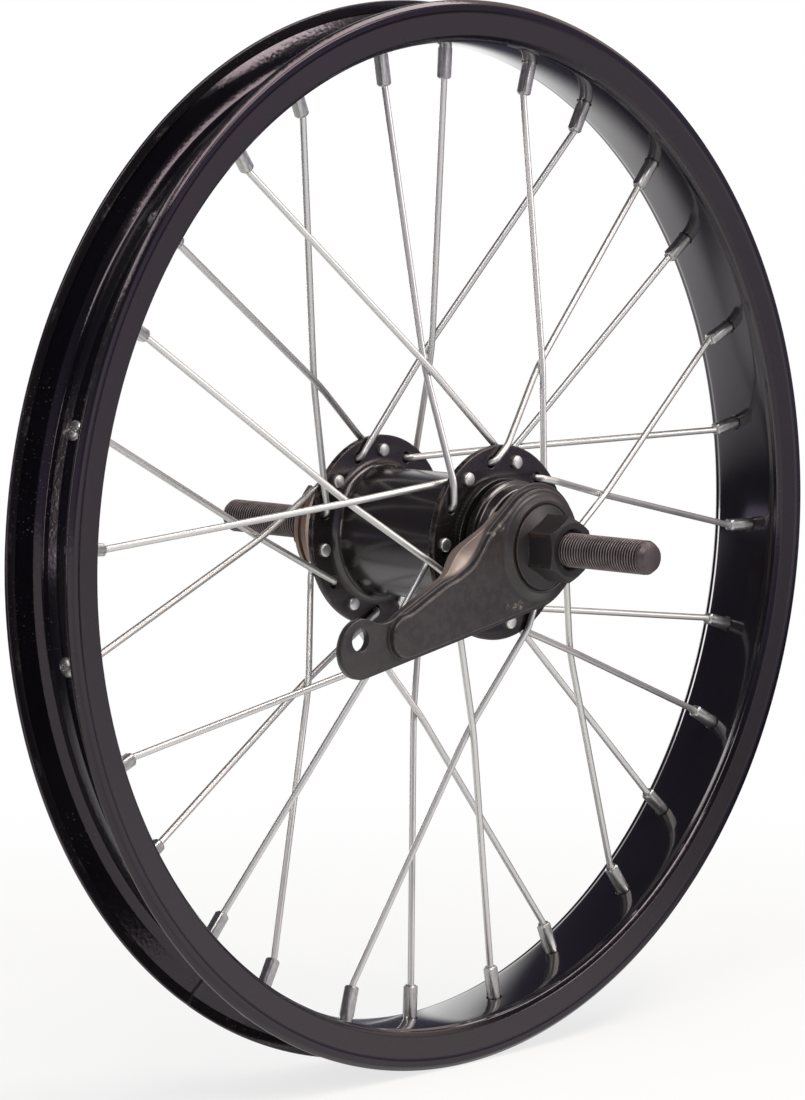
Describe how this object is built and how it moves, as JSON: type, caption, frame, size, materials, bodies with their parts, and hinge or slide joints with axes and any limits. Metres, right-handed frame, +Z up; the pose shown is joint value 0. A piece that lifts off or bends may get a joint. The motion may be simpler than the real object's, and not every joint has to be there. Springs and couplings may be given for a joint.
{
  "type": "bicycle wheel",
  "caption": "Spoked rear wheel of a child's bicycle: painted channel rim, crossed steel spokes, and a back-pedal brake hub with its brake arm, arm nut and threaded axle.",
  "frame": {"origin": "centre of the wheel, on the axle's axis, midway between the axle's ends and rim walls", "axes": "+Y along the axle to the sprocket side, -Y to the brake arm, +Z up, -X towards the arm's lug"},
  "size_m": [0.317, 0.172, 0.317],
  "materials": {
    "rim_paint": "gloss black paint, satin on the outer side walls",
    "hub_paint": "satin black paint",
    "zinc": "bright zinc plate",
    "black_oxide": "oiled black oxide, worn to brown at the edges",
    "bare_steel": "bare turned steel, tanned",
    "inner_steel": "greased ground steel"
  },
  "bodies": {
    "axle_set": {"axle": "black_oxide", "arm_nut": "black_oxide", "brake_arm": "black_oxide", "brake_cone": "black_oxide", "left_dust_cap": "hub_paint", "right_cone": "bare_steel", "lock_washer": "bare_steel", "lock_nut": "bare_steel"},
    "wheel": {"rim": "rim_paint", "left_nipples": "zinc", "right_nipples": "zinc", "left_spokes_heads_in": "zinc", "left_spokes_heads_out": "zinc", "right_spokes_heads_in": "zinc", "right_spokes_heads_out": "zinc", "left_flange": "hub_paint", "right_flange": "hub_paint", "hub_shell": "hub_paint"},
    "driver_set": {"driver": "bare_steel", "right_dust_cap": "bare_steel"},
    "left_ball_ring": {"left_balls": "inner_steel"},
    "right_ball_ring": {"right_balls": "inner_steel"},
    "driver_ball_ring": {"driver_balls": "inner_steel"},
    "clutch": {"clutch_cone": "inner_steel", "retarder_spring": "inner_steel"},
    "front_shoe": {"front_brake_shoe": "inner_steel"},
    "rear_shoe": {"rear_brake_shoe": "inner_steel"}
  },
  "joints": [
    {"name": "wheel_spin", "type": "hinge", "parent": "axle_set", "child": "wheel", "pos_m": [0, 0, 0], "axis": [0, 1, 0], "continuous": true},
    {"name": "driver_spin", "type": "hinge", "parent": "axle_set", "child": "driver_set", "pos_m": [0, 0, 0], "axis": [0, 1, 0], "continuous": true},
    {"name": "left_balls_roll", "type": "hinge", "parent": "axle_set", "child": "left_ball_ring", "pos_m": [0, 0, 0], "axis": [0, 1, 0], "continuous": true},
    {"name": "right_balls_roll", "type": "hinge", "parent": "axle_set", "child": "right_ball_ring", "pos_m": [0, 0, 0], "axis": [0, 1, 0], "continuous": true},
    {"name": "driver_balls_roll", "type": "hinge", "parent": "axle_set", "child": "driver_ball_ring", "pos_m": [0, 0, 0], "axis": [0, 1, 0], "continuous": true},
    {"name": "clutch_slide", "type": "slide", "parent": "driver_set", "child": "clutch", "axis": [0, 1, 0], "range_m": [-0.002, 0.001]},
    {"name": "front_shoe_wedge", "type": "slide", "parent": "axle_set", "child": "front_shoe", "axis": [0.2425, -0.9701, 0], "range_m": [-0.00052, 0.00104]},
    {"name": "rear_shoe_wedge", "type": "slide", "parent": "axle_set", "child": "rear_shoe", "axis": [-0.2425, -0.9701, 0], "range_m": [-0.00052, 0.00104]}
  ],
  "couplings": [
    {"joint": "front_shoe_wedge", "follows": "clutch_slide", "ratio": -0.5154},
    {"joint": "rear_shoe_wedge", "follows": "clutch_slide", "ratio": -0.5154}
  ]
}
